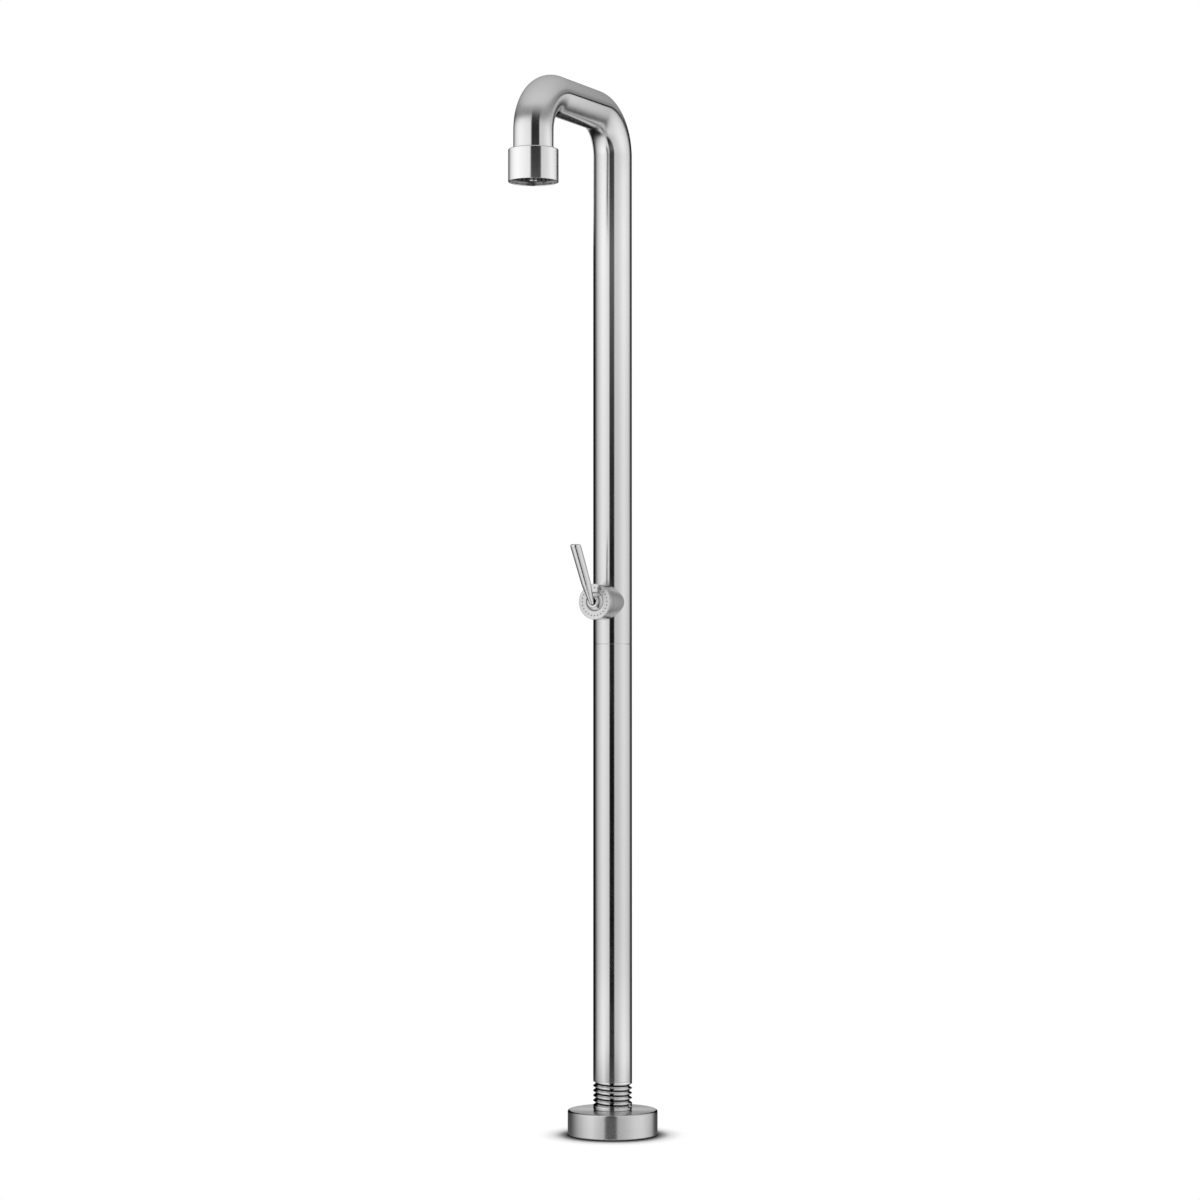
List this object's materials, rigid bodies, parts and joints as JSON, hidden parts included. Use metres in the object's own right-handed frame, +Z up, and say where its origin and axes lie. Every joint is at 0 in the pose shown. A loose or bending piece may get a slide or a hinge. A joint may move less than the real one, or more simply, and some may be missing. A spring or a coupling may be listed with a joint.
{
  "type": "outdoor shower post",
  "caption": "Free-standing stainless outdoor shower post: a cane-shaped tube on a round base, with a joystick lever mixer and a sleeve spray head.",
  "frame": {"origin": "centre of the underside of the round base, where the post stands", "axes": "+Z up along the post; the arm, the spray head and the mixer point along -Y; +X is to the right of someone facing the mixer"},
  "size_m": [0.194, 0.5015, 2.2499],
  "materials": {
    "post_steel": "satin stainless tube",
    "base_steel": "satin stainless cover",
    "plate_steel": "plain machined steel",
    "neck_steel": "polished turned steel",
    "head_steel": "satin stainless",
    "cap_steel": "satin stainless with turned rings",
    "lever_steel": "polished stainless bar",
    "hub_steel": "polished stainless",
    "fixing_steel": "plain stainless fixings",
    "pipe_steel": "drawn stainless pipe",
    "jet_steel": "polished stainless",
    "brass": "machined brass",
    "cartridge_plastic": "moulded white plastic",
    "seat_plastic": "low-friction plastic",
    "spacer_plastic": "moulded black plastic",
    "gasket_rubber": "black sheet rubber",
    "seal_rubber": "black rubber",
    "nozzle_silicone": "dark grey silicone"
  },
  "bodies": {
    "post": {"lower_post_tube": "post_steel", "upper_post_tube": "post_steel", "mixer_boss": "post_steel", "base_cover": "base_steel", "mounting_plate": "plate_steel", "threaded_neck": "neck_steel", "head_sleeve": "head_steel", "spray_face": "head_steel", "mixer_cap": "cap_steel", "neck_set_screws": "fixing_steel", "mixer_screws": "fixing_steel", "snap_ring": "fixing_steel", "jet_nut": "fixing_steel", "post_coupler": "fixing_steel", "mixer_mount_ring": "fixing_steel", "cold_supply_pipe": "pipe_steel", "hot_supply_pipe": "pipe_steel", "riser_pipe": "pipe_steel", "centre_jet": "jet_steel", "mixer_body": "brass", "cartridge_nut": "brass", "supply_nuts": "brass", "riser_nut": "brass", "spout_nut": "brass", "cold_inlet_fitting": "brass", "hot_inlet_fitting": "brass", "spout_plug": "brass", "head_body": "brass", "cartridge_body": "cartridge_plastic", "dome_seat": "seat_plastic", "supply_spacers": "spacer_plastic", "riser_spacers": "spacer_plastic", "flow_regulator": "spacer_plastic", "check_valves": "spacer_plastic", "base_gasket": "gasket_rubber", "neck_o_ring": "seal_rubber", "cap_o_ring": "seal_rubber", "cartridge_seals": "seal_rubber", "nozzle_mat": "nozzle_silicone"},
    "rotor": {"cartridge_rotor": "cartridge_plastic", "tilt_pin": "fixing_steel"},
    "lever": {"lever_stem": "fixing_steel", "lever_hub": "hub_steel", "lever_handle": "lever_steel", "lever_grub_screw": "fixing_steel"}
  },
  "joints": [
    {"name": "temperature_turn", "type": "hinge", "parent": "post", "child": "rotor", "pos_m": [0, -0.066, 1.148], "axis": [0, -1, 0], "range_deg": [-45, 45]},
    {"name": "flow_tilt", "type": "hinge", "parent": "rotor", "child": "lever", "pos_m": [0, -0.066, 1.148], "axis": [1, 0, 0], "range_deg": [0, 18]}
  ]
}
